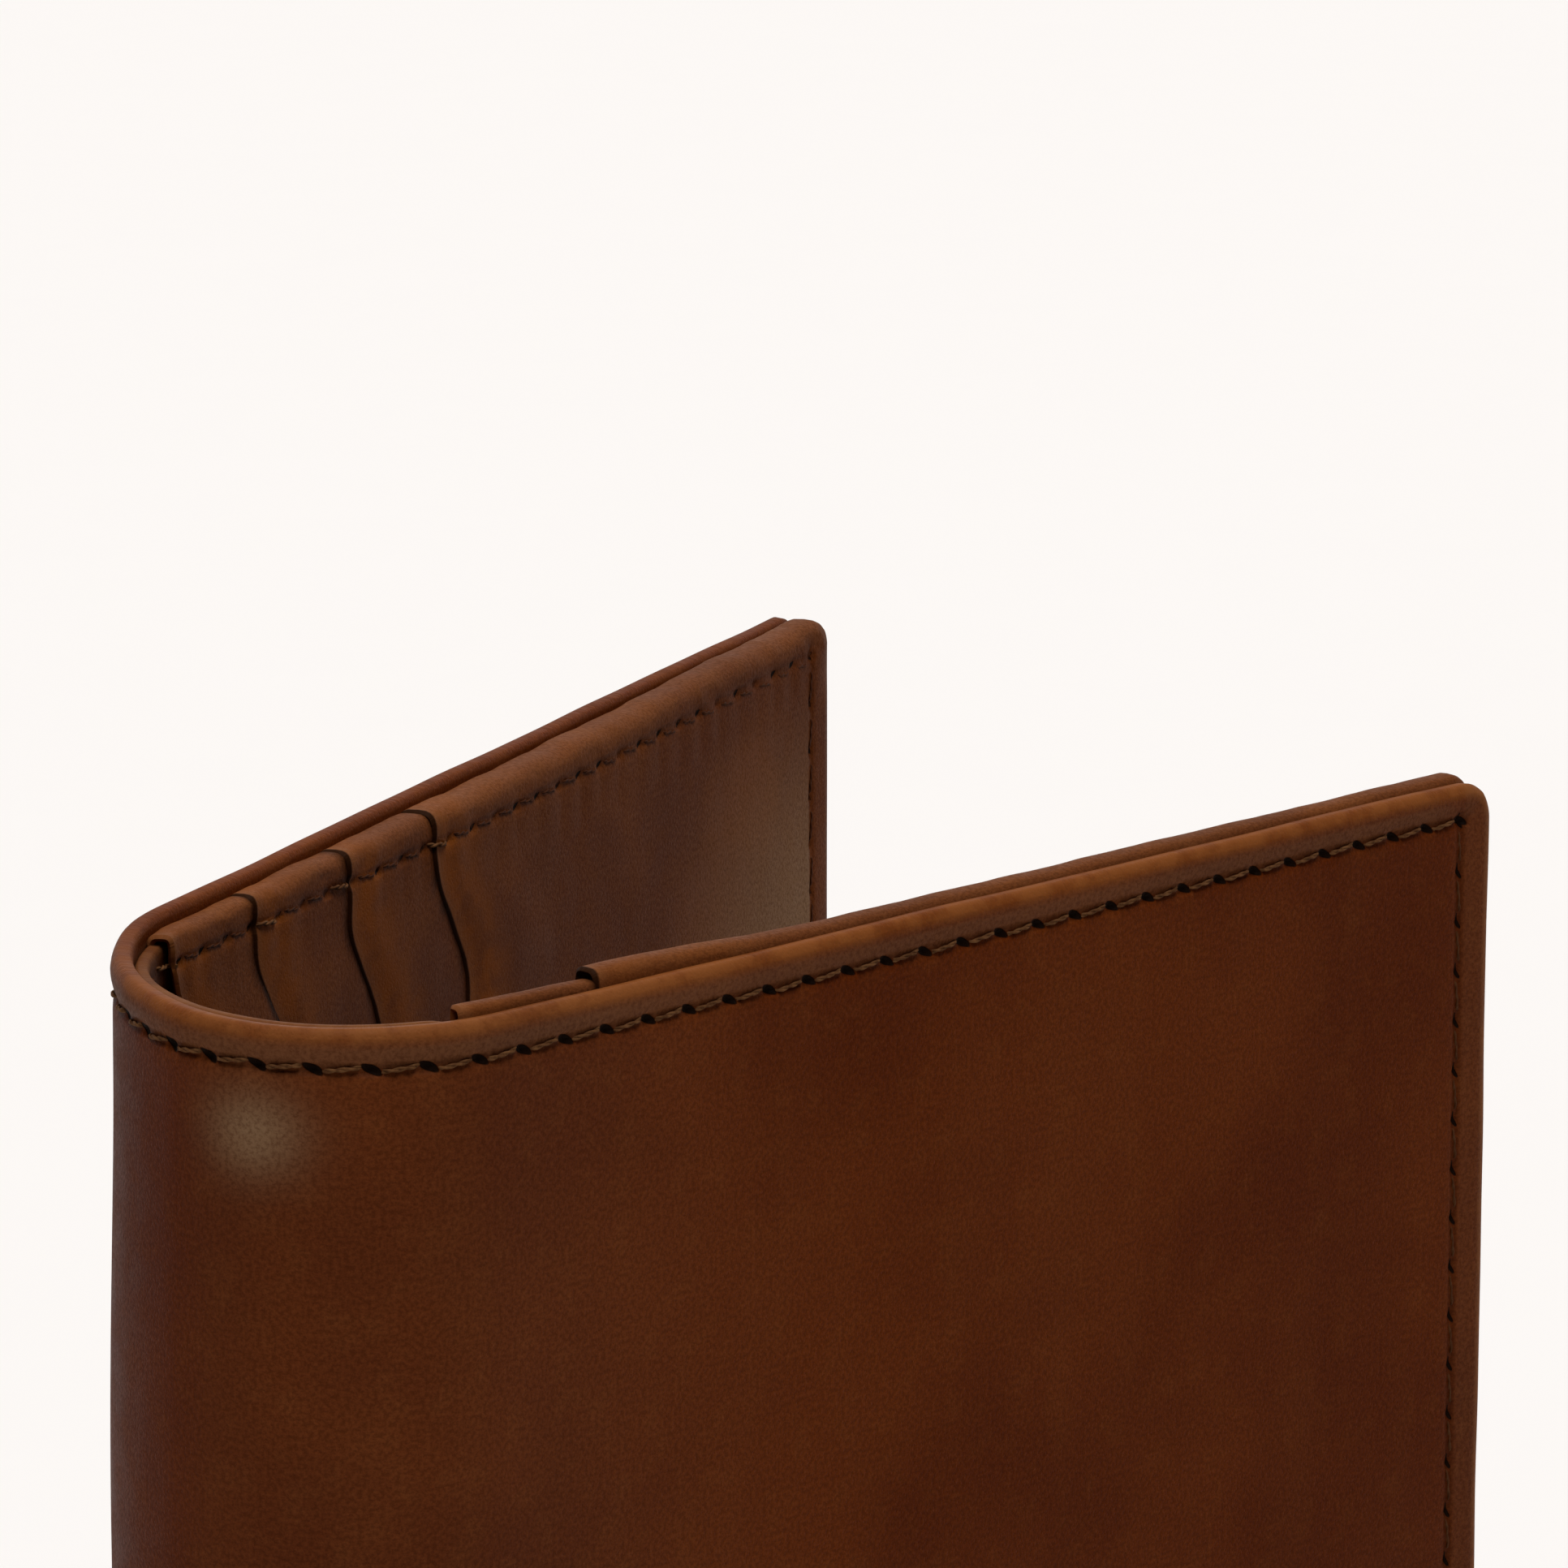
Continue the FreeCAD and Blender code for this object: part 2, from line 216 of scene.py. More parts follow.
def seam_relief(u, z):
    """How far the seam pulls the leather in: a shallow line with a pit at each needle hole."""
    along, up = u - SEAM_MIDDLE, z - HEIGHT / 2
    total = 0 * (u + z)
    for a, a_half, b, b_half, pitch in ((along, SEAM_HALF, up, SEAM_TALL, PITCH_LONG),
                                        (up, SEAM_TALL, along, SEAM_HALF, PITCH_TALL)):
        across = np.abs(b) - b_half
        to_hole = (a + a_half + pitch / 2) % pitch - pitch / 2
        inside = 1 - smooth(0.2, 0.8, np.abs(a) - a_half)
        line = GROOVE * np.exp(-(across / GROOVE_WIDTH) ** 2)
        pit = PIT * np.exp(-(to_hole / PIT_LONG) ** 2 - (across / PIT_WIDE) ** 2)
        total = np.maximum(total, inside * (line + pit))
    return total


def spaced(low, high, step):
    """Evenly spaced values including both ends."""
    return np.linspace(low, high, max(2, int(round((high - low) / step)) + 1))


def merged(*groups):
    """Sorted values without near repeats."""
    values = np.sort(np.concatenate([np.ravel(group) for group in groups]))
    keep = np.concatenate([[True], np.diff(values) > 0.02])
    return values[keep]


# Grid lines round each needle hole and one between two holes; across the seam; and round a cut.
BETWEEN_HOLES = 1.345
HOLE_STEPS = np.array([-0.5, -0.25, 0.0, 0.25, 0.5, BETWEEN_HOLES])
TALL_STEPS = np.array([-0.4, 0.0, 0.4, BETWEEN_HOLES])
SEAM_STEPS = np.array([-0.9, -0.6, -0.35, -0.17, 0.0, 0.17, 0.35, 0.6, 0.9, 1.5])
CUT_STEPS = np.array([-0.12, 0.0, 0.12])
HOLES_LONG = SEAM_MIDDLE - SEAM_HALF + PITCH_LONG * np.arange(STITCHES_LONG + 1)
HOLES_TALL = MARGIN + PITCH_TALL * np.arange(STITCHES_TALL + 1)


def around(centres, steps):
    """Every centre with the steps added."""
    return np.add.outer(centres, steps).ravel()


def along_seam(holes, steps):
    """Grid lines round the holes of a seam, up to its last hole."""
    lines = around(holes, steps)
    return lines[lines < holes[-1]]


def edge_steps(radius, inner):
    """Distances from an outline at which a rolled edge of this radius needs points."""
    roll = radius * (1 - np.cos(np.radians([0, 16, 32, 48, 64, 80, 90])))
    return np.concatenate([roll, spaced(radius, inner, 0.35)])


def fan(a, b):
    """Turns square rings round a centre into round ones: their radius and outward direction."""
    far = np.maximum(np.abs(a), np.abs(b))
    near = np.minimum(np.abs(a), np.abs(b))
    turn = math.pi / 4 * near / np.maximum(far, 1e-9)
    mostly_a = np.abs(a) >= np.abs(b)
    out_a = np.where(mostly_a, np.cos(turn), np.sin(turn)) * np.sign(a)
    out_b = np.where(mostly_a, np.sin(turn), np.cos(turn)) * np.sign(b)
    return far, out_a, out_b


def outlined(u, z, low_u, high_u, low_z, high_z, corner):
    """Bends a rectangular grid into a rounded outline.

    Returns u, z, the distance inside the outline and the outward direction.
    """
    centre_u = np.clip(u, low_u + corner, high_u - corner)
    centre_z = np.clip(z, low_z + corner, high_z - corner)
    far, out_u, out_z = fan(u - centre_u, z - centre_z)
    inner = np.minimum(np.minimum(u - low_u, high_u - u), np.minimum(z - low_z, high_z - z))
    distance = np.where(far > 0, corner - far, inner)
    return centre_u + far * out_u, centre_z + far * out_z, distance, out_u, out_z


def quads(index):
    """Four-sided faces of a grid of point numbers."""
    return np.stack([index[:-1, :-1], index[:-1, 1:], index[1:, 1:], index[1:, :-1]], -1).reshape(-1, 4)


SHARP = math.radians(75)


def build(name, points, faces, flat, values, material):
    """A mesh object from points, faces, flat leather coordinates and named values per point."""
    used, compact = np.unique(faces, return_inverse=True)
    faces = compact.reshape(faces.shape)
    lists = [list(dict.fromkeys(face)) for face in faces.tolist()]
    mesh = bpy.data.meshes.new(name)
    mesh.from_pydata(points[used].tolist(), [], [face for face in lists if len(face) > 2])
    work = bmesh.new()
    work.from_mesh(mesh)
    bmesh.ops.recalc_face_normals(work, faces=work.faces)
    for face in work.faces:
        face.smooth = True
    for edge in work.edges:
        edge.smooth = edge.calc_face_angle(0.0) < SHARP
    work.to_mesh(mesh)
    work.free()
    corners = np.empty(len(mesh.loops), int)
    mesh.loops.foreach_get("vertex_index", corners)
    layer = mesh.uv_layers.new(name="flat")
    layer.data.foreach_set("uv", flat[used][corners].astype(np.float32).ravel())
    for label, value in values.items():
        attribute = mesh.attributes.new(label, "FLOAT", "POINT")
        attribute.data.foreach_set("value", value[used].astype(np.float32))
    mesh.materials.append(material)
    piece = bpy.data.objects.new(name, mesh)
    bpy.context.scene.collection.objects.link(piece)
    return piece


# ---------------------------------------------------------------- materials


class Nodes:
    """Short names for building one material's node tree."""

    def __init__(self, name):
        self.material = bpy.data.materials.new(name)
        self.material.use_nodes = True
        self.tree = self.material.node_tree
        self.shader = self.tree.nodes["Principled BSDF"]

    def add(self, kind, inputs=(), **settings):
        node = self.tree.nodes.new(kind)
        for key, value in settings.items():
            setattr(node, key, value)
        for key, value in dict(inputs).items():
            self.put(value, node.inputs[key])
        return node

    def put(self, value, socket):
        if isinstance(value, bpy.types.NodeSocket):
            self.tree.links.new(value, socket)
        else:
            socket.default_value = value

    def math(self, operation, *values, clamp=False):
        node = self.add("ShaderNodeMath", operation=operation, use_clamp=clamp)
        for socket, value in zip(node.inputs, values):
            self.put(value, socket)
        return node.outputs[0]

    def step(self, value, low, high, to_low=0.0, to_high=1.0):
        node = self.add("ShaderNodeMapRange", {"Value": value, "From Min": low, "From Max": high,
                                               "To Min": to_low, "To Max": to_high},
                        interpolation_type="SMOOTHSTEP")
        return node.outputs["Result"]

    def noise(self, vector, scale, detail=3.0, roughness=0.55):
        node = self.add("ShaderNodeTexNoise", {"Vector": vector, "Scale": scale, "Detail": detail,
                                               "Roughness": roughness}, noise_dimensions="2D")
        return node.outputs[0]

    def mix(self, factor, first, second, blend="MIX"):
        node = self.add("ShaderNodeMix", data_type="RGBA", blend_type=blend)
        self.put(factor, node.inputs[0])
        self.put(first, node.inputs[6])
        self.put(second, node.inputs[7])
        return node.outputs[2]

    def value(self, attribute):
        return self.add("ShaderNodeAttribute", attribute_name=attribute).outputs["Fac"]

    def bump(self, height, distance, strength, normal=None):
        inputs = {"Height": height, "Distance": distance, "Strength": strength}
        if normal is not None:
            inputs["Normal"] = normal
        return self.add("ShaderNodeBump", inputs).outputs[0]


# Half length and half width of a needle hole as it is drawn: on the long seams and the short ones.
HOLE_LENGTH, HOLE_BREADTH = 0.44, 0.24
SHORT_HOLE_LENGTH, SHORT_HOLE_BREADTH = 0.42, 0.13
OVAL_POWER = 2.6


def oval_part(nodes, distance, radius):
    """One direction's share of how far a point lies out from the middle of an oval."""
    share = nodes.math("ABSOLUTE", nodes.math("DIVIDE", distance, radius))
    return nodes.math("POWER", share, OVAL_POWER)


def seam_marks(nodes, flat, size):
    """1 in a needle hole, a little along the seam's groove and 0 elsewhere."""
    split = nodes.add("ShaderNodeSeparateXYZ", {"Vector": flat})
    along = nodes.math("SUBTRACT", split.outputs[0], SEAM_MIDDLE)
    up = nodes.math("SUBTRACT", split.outputs[1], HEIGHT / 2)
    marks = []
    for a, a_half, b, b_half, pitch, long_side, wide in (
            (along, SEAM_HALF, up, SEAM_TALL, PITCH_LONG,
             HOLE_LENGTH * size, HOLE_BREADTH * size),
            (up, SEAM_TALL, along, SEAM_HALF, PITCH_TALL,
             SHORT_HOLE_LENGTH * size, SHORT_HOLE_BREADTH)):
        across = nodes.math("SUBTRACT", nodes.math("ABSOLUTE", b), b_half)
        cycle = nodes.math("FRACT", nodes.math("ADD", nodes.math("DIVIDE", a, pitch),
                                               a_half / pitch % 1 + 0.5))
        to_hole = nodes.math("MULTIPLY", nodes.math("SUBTRACT", cycle, 0.5), pitch)
        slanted = nodes.math("ADD", to_hole, nodes.math("MULTIPLY", across, 0.35))
        level = nodes.math("ADD", across, nodes.math("MULTIPLY", to_hole, 0.28))
        oval = nodes.math("ADD", oval_part(nodes, slanted, long_side), oval_part(nodes, level, wide))
        on_line = nodes.step(nodes.math("ABSOLUTE", a), a_half + 0.4, a_half + 0.7, 1.0, 0.0)
        groove = nodes.step(nodes.math("ABSOLUTE", across), 0.10, 0.42, 0.28 * size, 0.0)
        mark = nodes.math("MAXIMUM", nodes.step(oval, 0.60, 1.20, 1.0, 0.0), groove)
        marks.append(nodes.math("MULTIPLY", mark, on_line))
    return nodes.math("MAXIMUM", *marks)


ORANGE_DYE = (0.210, 0.056, 0.009, 1)
# Orange highlight painted where light catches a pocket's turned mouth edge.
MOUTH_HIGHLIGHT_PAINT = (0.270, 0.072, 0.010, 1)
DARK_GRAIN = (0.018, 0.004, 0.001, 1)
# Pale grey-brown for painted sheen and highlights, and for paler bands of the cover.
PALE_SHEEN_TONE = (0.340, 0.215, 0.115, 1)
SHADOW = (0.010, 0.003, 0.001, 1)
HOLE_DARK = (0.010, 0.0040, 0.0018, 1)


def leather(name, deep, warm, worn, roughness=0.42, gloss_level=0.03, hole_size=1.0, blotch=0.0):
    """Smooth tanned leather: dyed unevenly, lighter and warmer where an edge is turned and rubbed,
    with painted highlights, sheen and shadow.

    deep and warm are the two tones of the dye and worn that of rubbed places. gloss_level is the
    shader's specular level. Needle holes are drawn hole_size times as large as on the cover, and
    smaller ones fainter. blotch is how strongly the dye shows orange in patches a centimetre across.
    """
    nodes = Nodes(name)
    flat = nodes.add("ShaderNodeUVMap", uv_map="flat").outputs[0]
    stretched = nodes.add("ShaderNodeMapping", {"Vector": flat, "Scale": (1.0, 0.16, 1.0)}).outputs[0]
    cloud = nodes.noise(flat, 0.045, 3.0, 0.5)
    streak = nodes.noise(stretched, 0.22, 2.0, 0.5)
    dye = nodes.noise(flat, 0.085, 2.0, 0.5)
    patch = nodes.noise(flat, 0.50, 3.0, 0.6)
    grain = nodes.noise(flat, 4.2, 4.0, 0.7)
    pores = nodes.add("ShaderNodeTexVoronoi", {"Vector": flat, "Scale": 4.0, "Randomness": 1.0},
                      voronoi_dimensions="2D", feature="F1").outputs["Distance"]
    tone = nodes.mix(nodes.step(cloud, 0.34, 0.68), deep, warm)
    tone = nodes.mix(nodes.step(dye, 0.47, 0.66, 0.0, blotch), tone, ORANGE_DYE)
    tone = nodes.mix(nodes.step(streak, 0.50, 0.80, 0.0, 0.07), tone, worn)
    tone = nodes.mix(nodes.step(patch, 0.45, 0.80, 0.0, 0.14), tone, worn)
    tone = nodes.mix(nodes.step(grain, 0.34, 0.62, 0.34, 0.0), tone, DARK_GRAIN)
    tone = nodes.mix(nodes.step(grain, 0.56, 0.80, 0.0, 0.20), tone, worn)
    # Painted highlight: the orange light caught along each pocket's mouth.
    mouth_highlight = nodes.math("MULTIPLY", nodes.value("mouth"), nodes.step(patch, 0.30, 0.62, 0.45, 1.0))
    tone = nodes.mix(mouth_highlight, tone, MOUTH_HIGHLIGHT_PAINT)
    # Rubbed edges drawn lighter; on the cover this also paints the light caught along the rim, fainter on the
    # back half.
    rub_and_highlight = nodes.math("MULTIPLY", nodes.value("edge"), nodes.step(patch, 0.25, 0.65, 0.45, 1.0))
    tone = nodes.mix(rub_and_highlight, tone, worn)
    # Painted sheen and highlights, and paler bands of the cover, in a pale grey-brown.
    paleness_and_sheen = nodes.math("MULTIPLY", nodes.value("paleness_and_sheen"), nodes.step(grain, 0.30, 0.60, 0.55, 1.0))
    tone = nodes.mix(paleness_and_sheen, tone, PALE_SHEEN_TONE)
    tone = nodes.mix(nodes.value("crevice"), tone, SHADOW)
    hole = seam_marks(nodes, flat, hole_size)
    faintest = hole_size ** 3
    hole = nodes.math("MULTIPLY", hole, nodes.step(patch, 0.38, 0.60, faintest, 1.0))
    tone = nodes.mix(hole, tone, HOLE_DARK)
    nodes.put(tone, nodes.shader.inputs["Base Color"])
    gloss = nodes.step(grain, 0.3, 0.7, roughness + 0.06, roughness - 0.05)
    nodes.put(nodes.math("ADD", gloss, nodes.step(patch, 0.35, 0.7, 0.0, 0.08)),
              nodes.shader.inputs["Roughness"])
    fine = nodes.bump(grain, 0.05 * MM, 0.5)
    relief = nodes.bump(nodes.step(pores, 0.0, 0.35), 0.03 * MM, 0.35, fine)
    relief = nodes.bump(nodes.math("SUBTRACT", 1.0, hole), 0.30 * MM, 0.8, relief)
    nodes.put(relief, nodes.shader.inputs["Normal"])
    nodes.shader.inputs["Specular IOR Level"].default_value = gloss_level
    return nodes.material


def thread_material():
    """Waxed thread, lighter than the leather, with painted shade where it is sunk."""
    nodes = Nodes("waxed_thread")
    place_at = nodes.add("ShaderNodeTexCoord").outputs["Object"]
    fibre = nodes.add("ShaderNodeTexNoise", {"Vector": place_at, "Scale": 2600.0, "Detail": 3.0})
    tone = nodes.mix(nodes.step(fibre.outputs[0], 0.3, 0.7), (0.088, 0.034, 0.012, 1),
                     (0.180, 0.078, 0.028, 1))
    # Painted shade on thread sunk into its groove.
    tone = nodes.mix(nodes.value("thread_shade"), tone, (0.070, 0.020, 0.006, 1))
    nodes.put(tone, nodes.shader.inputs["Base Color"])
    nodes.put(nodes.step(fibre.outputs[0], 0.3, 0.7, 0.75, 0.55), nodes.shader.inputs["Roughness"])
    nodes.put(nodes.bump(fibre.outputs[0], 0.05 * MM, 0.6), nodes.shader.inputs["Normal"])
    nodes.shader.inputs["Specular IOR Level"].default_value = 0.06
    return nodes.material


def board_material():
    """Grey-brown stiffening board with pressed fibres."""
    nodes = Nodes("pressed_board")
    place_at = nodes.add("ShaderNodeTexCoord").outputs["Object"]
    fibre = nodes.add("ShaderNodeTexNoise", {"Vector": place_at, "Scale": 900.0, "Detail": 4.0})
    tone = nodes.mix(nodes.step(fibre.outputs[0], 0.3, 0.7), (0.20, 0.15, 0.10, 1),
                     (0.34, 0.27, 0.19, 1))
    nodes.put(tone, nodes.shader.inputs["Base Color"])
    nodes.put(nodes.step(fibre.outputs[0], 0.3, 0.7, 0.95, 0.8), nodes.shader.inputs["Roughness"])
    nodes.put(nodes.bump(fibre.outputs[0], 0.08 * MM, 0.5), nodes.shader.inputs["Normal"])
    return nodes.material


COVER_LEATHER = leather("cover_leather", (0.118, 0.0200, 0.0020, 1), (0.158, 0.0310, 0.0036, 1),
                        (0.250, 0.078, 0.018, 1))
LINING_LEATHER = leather("lining_leather", (0.095, 0.024, 0.006, 1), (0.140, 0.040, 0.012, 1),
                         (0.210, 0.080, 0.028, 1), roughness=0.48, gloss_level=0.02, hole_size=0.6,
                         blotch=0.3)
POCKET_LEATHER = leather("pocket_leather", (0.125, 0.029, 0.005, 1), (0.172, 0.044, 0.009, 1),
                         (0.215, 0.080, 0.028, 1), roughness=0.45, gloss_level=0.02, hole_size=0.6,
                         blotch=0.55)
THREAD = thread_material()
BOARD = board_material()

# ---------------------------------------------------------------- the cover and the lining


# Depths of the corners worked out for a fold zone: just outside the cover and past the pockets.
BEND_DEPTHS = (-0.3, 4.0)


def join_bodies(piece, zone):
    """Bakes a piece's place into its points. The ends of fold zone number zone (0 to 3) are worked out, but
    nothing uses them.
    """
    ends = [0.0] + CUTS + [U_FRONT]
    low_u, high_u = ends[zone], ends[zone + 1]
    corners = [place(np.array(float(u)), np.array(float(d)), np.array(0.0))
               for u in (low_u, high_u) for d in BEND_DEPTHS]
    chord = corners[2] - corners[0]
    chord = chord / np.linalg.norm(chord)
    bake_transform(piece)


def cover_pale_and_highlight(flat):
    """How pale the cover is drawn: a painted highlight by the spine, the bend, a dull band between
    edge and seam, and the strip outside the front half's side seam.
    """
    u, z = flat.T
    # Painted highlight: a soft pale spot beside the spine.
    spot = 0.66 * np.exp(-((u - PAINTED_HIGHLIGHT_SPOT[0]) / 2.3) ** 2 - ((z - PAINTED_HIGHLIGHT_SPOT[1]) / 1.9) ** 2)
    spine = 0.05 * smooth(BACK_ARC, BACK_ARC + 4, u) * (1 - smooth(U_FRONT, U_FRONT + 24, u))
    drop = HEIGHT - z
    band = 0.16 * smooth(0.60, 0.95, drop) * (1 - smooth(MARGIN - 0.3, MARGIN + 0.1, drop))
    side = 0.08 * smooth(U_HIGH - SIDE_MARGIN["front"], U_HIGH - SIDE_MARGIN["front"] + 0.5, u)
    return spot + spine + side + band * smooth(0, 4, u) * (1 - smooth(U_HIGH - 5, U_HIGH - 0.5, u))


EDGE_SQUARENESS = 0.38


def skin(name, columns, rows, box, corner, roll, faces_at, lift, material, nodes):
    """A closed sheet of leather from edge to edge of the hide, cut at the spine's fold zones.

    box is (low u, high u, low z, high z). faces_at(u, z) gives the depth of its outer and inner
    faces, and lift(u) how far its top edge is pushed up. Its edges are rolled with the radius roll,
    and each cut is closed. nodes lists the CAD nodes that each piece replaces.
    """
    u, z = np.meshgrid(columns, rows)
    u, z, inside, out_u, out_z = outlined(u, z, *box, corner)
    z = z + lift(u) * smooth(HEIGHT - 14, HEIGHT - 1.5, z)
    outer, inner = faces_at(u, z)
    middle = (outer + inner) / 2
    fullness = np.clip(1 - (1 - np.clip(inside / roll, 0, 1)) ** 2, 0, 1) ** EDGE_SQUARENESS
    shift = wander(u, 3, 31.0, 0.05) * np.abs(out_z) + wander(z, 4, 27.0, 0.06) * np.abs(out_u)
    u = u + out_u * shift
    z = np.maximum(z + out_z * shift, 0)
    points = np.concatenate([
        place(u, middle + (face - middle) * fullness, z).reshape(-1, 3) for face in (outer, inner)])
    flat = np.tile(np.column_stack([u.ravel(), z.ravel()]), (2, 1))
    # Rubbed, lighter edges that also paint the light caught along the rim: fainter on the back half.
    edge = 0.88 * (1 - smooth(0.35, 0.85, inside)) * (1 - 0.75 * smooth(-BACK_ARC, 0, -u))
    edge = np.tile(edge.ravel(), 2)
    count = u.size
    index = np.arange(count).reshape(u.shape)
    back = index + count
    back[[0, -1], :] = index[[0, -1], :]
    back[:, [0, -1]] = index[:, [0, -1]]
    cut_columns = [int(np.argmin(np.abs(columns - cut))) for cut in CUTS]
    limits = [0] + cut_columns + [len(columns) - 1]
    values = {"edge": edge, "crevice": 0 * edge, "mouth": 0 * edge,
              "paleness_and_sheen": cover_pale_and_highlight(flat) if material is COVER_LEATHER else 0 * edge}
    for zone, (low, high) in enumerate(zip(limits, limits[1:])):
        faces = []
        for sheet in (index, back):
            faces.append(quads(sheet[:, low:high + 1]))
        for column in (low, high):
            if 0 < column < len(columns) - 1:
                faces.append(np.stack([index[:-1, column], index[1:, column],
                                       back[1:, column], back[:-1, column]], -1))
        piece = build("%s_%d" % (name, zone + 1), points, np.concatenate(faces), flat, values,
                      material)
        join_bodies(piece, zone)
        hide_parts(*nodes[zone])


COVER_ROLL = 0.5
RECESS = 0.5


def cover_faces(u, z):
    """Outer and inner depth of the cover."""
    edge_u = np.minimum(u - U_LOW, U_HIGH - u)
    edge_z = np.minimum(z, HEIGHT - z)
    edge = np.minimum(edge_u, edge_z)
    bulge = 0.10 * smooth(0.2, 0.8, edge) * (1 - smooth(0.8, 1.9, edge))
    outer = seam_relief(u, z) - bulge + mottle(u, z, 11, 26.0, 0.04) * smooth(3, 9, edge)
    flat_part = np.where(u < 0, -u, u - U_FRONT)
    board = smooth(BOARD_INSET - 0.2, BOARD_INSET, np.minimum(edge, flat_part + BOARD_INSET))
    inner = COVER - RECESS * board * smooth(2.6, 3.2, flat_part + BOARD_INSET)
    return outer, inner


def cover_lift(u):
    """How far the cover's top edge is pushed up: a little on the back half."""
    return 0.17 * (1 - smooth(0, 10, u))


cover_edge = edge_steps(COVER_ROLL, CORNER)
cover_columns = merged(U_LOW + cover_edge, U_HIGH - cover_edge, along_seam(HOLES_LONG, HOLE_STEPS),
                       around(CUTS, CUT_STEPS), [U_LOW + BOARD_INSET, U_HIGH - BOARD_INSET],
                       U_LOW + SIDE_MARGIN["back"] + SEAM_STEPS,
                       U_HIGH - SIDE_MARGIN["front"] - SEAM_STEPS)
cover_columns = cover_columns[(cover_columns >= U_LOW) & (cover_columns <= U_HIGH)]
cover_rows = merged(cover_edge, HEIGHT - cover_edge, along_seam(HOLES_TALL, TALL_STEPS),
                    MARGIN + SEAM_STEPS, HEIGHT - MARGIN - SEAM_STEPS)
cover_rows = cover_rows[(cover_rows >= 0) & (cover_rows <= HEIGHT)]
skin("cover_hide", cover_columns, cover_rows, (U_LOW, U_HIGH, 0.0, HEIGHT), CORNER,
     COVER_ROLL, cover_faces, cover_lift, COVER_LEATHER,
     [["cover_back"], ["cover_spine_1"], ["cover_spine_2", "cover_spine_3"], ["cover_front"]])


LINING_ROLL = 0.38


def lining_faces(u, z):
    """Outer and inner depth of the lining, fuller where its edge is turned."""
    edge = np.minimum(np.minimum(u - U_LOW, U_HIGH - u), np.minimum(z, HEIGHT - z)) - INSET
    turned = 0.3 * (1 - smooth(2.0, 4.0, edge))
    return COVER + 0.02 + 0 * u, LEATHER + turned + mottle(u, z, 17, 14.0, 0.03)


def lining_lift(u):
    """How far the lining's top edge is pushed up: it shows most along the spine."""
    return -0.5 + 0.8 * smooth(4, 24, u) - 0.6 * smooth(-4.0, -0.5, u - U_FRONT)


lining_box = (U_LOW + INSET, U_HIGH - INSET, INSET, HEIGHT - INSET)
lining_edge = edge_steps(LINING_ROLL, 2.0)
lining_columns = merged(lining_box[0] + lining_edge, lining_box[1] - lining_edge,
                        around(CUTS, CUT_STEPS),
                        spaced(U_LOW + 3, -2.0, 3.0), spaced(-2.0, U_FRONT + 2.0, 0.5),
                        spaced(U_FRONT + 2.0, U_HIGH - 3, 3.0))
lining_rows = merged(lining_box[2] + lining_edge, lining_box[3] - lining_edge,
                     spaced(3.0, HEIGHT - 3.0, 1.6))
skin("lining_skin", lining_columns, lining_rows, lining_box, CORNER - INSET, LINING_ROLL,
     lining_faces, lining_lift, LINING_LEATHER,
     [["lining_back"], ["lining_spine_1"], ["lining_spine_2", "lining_spine_3"], ["lining_front"]])

# ---------------------------------------------------------------- the pockets


# Depth of the leather behind a wrap, how far it runs on there, and how thick a panel is.
WRAP_BACK = COVER + 0.03
TAIL = 0.5
SHEET = 0.34
# How far panels stop short of the bottom and outer edges, and under pockets of the outer edge.
FOOT = 0.4
UNDER_END = 3.0
# A wrap is fuller than a half circle, and under pockets are drawn in below the next one's edge.
SQUARENESS = 0.78
TUCK = 0.30


class Pocket:
    """One pocket panel.

    mouth_out is how much further out its open edge starts than the CAD node's; face is the depth of
    its inner face; top is how far its upper edge stands above the cover's (negative is below) and
    peak how much higher still it is at the mouth; the mouth curves away from the spine by curve,
    about bend below the top.
    """

    def __init__(self, node, half, mouth_out, face, top, peak, bend, curve):
        self.node = node
        self.half = half
        self.mouth = extent(node, half)[0][0] + mouth_out
        self.face = face
        self.top = top
        self.peak = peak
        self.bend = bend
        self.curve = curve
        self.radius = (face - WRAP_BACK) / 2


BACK_POCKETS = [
    Pocket("card_pocket_1", "back", mouth_out=-0.4, face=2.60, top=-0.40, peak=0.0, bend=4.5, curve=3.6),
    Pocket("card_pocket_2", "back", mouth_out=0.0, face=2.85, top=-0.34, peak=0.0, bend=7.0, curve=3.6),
    Pocket("card_pocket_3", "back", mouth_out=0.3, face=3.15, top=-0.28, peak=0.0, bend=7.6, curve=3.6),
    Pocket("card_pocket_4", "back", mouth_out=0.0, face=3.45, top=-0.20, peak=0.0, bend=6.4, curve=3.9),
]
FRONT_POCKETS = [
    Pocket("note_pocket_rear", "front", mouth_out=0.0, face=2.25, top=0.00, peak=0.42, bend=30.0, curve=5.0),
    Pocket("note_pocket_front", "front", mouth_out=0.0, face=2.75, top=0.22, peak=0.52, bend=30.0, curve=5.0),
]
POCKETS = BACK_POCKETS + FRONT_POCKETS
MOUTH_STEP = BACK_POCKETS[2].mouth - BACK_POCKETS[1].mouth


def mouth_shift(pocket, z):
    """How far a mouth curves away from the spine, by height."""
    drop = np.minimum(z, HEIGHT - z)
    curve = pocket.curve * smooth(pocket.bend - 4.2, pocket.bend + 4.2, drop)
    return curve + wander(z, sum(map(ord, pocket.node)), 9.0, 0.16) * smooth(0.5, 3.0, drop)


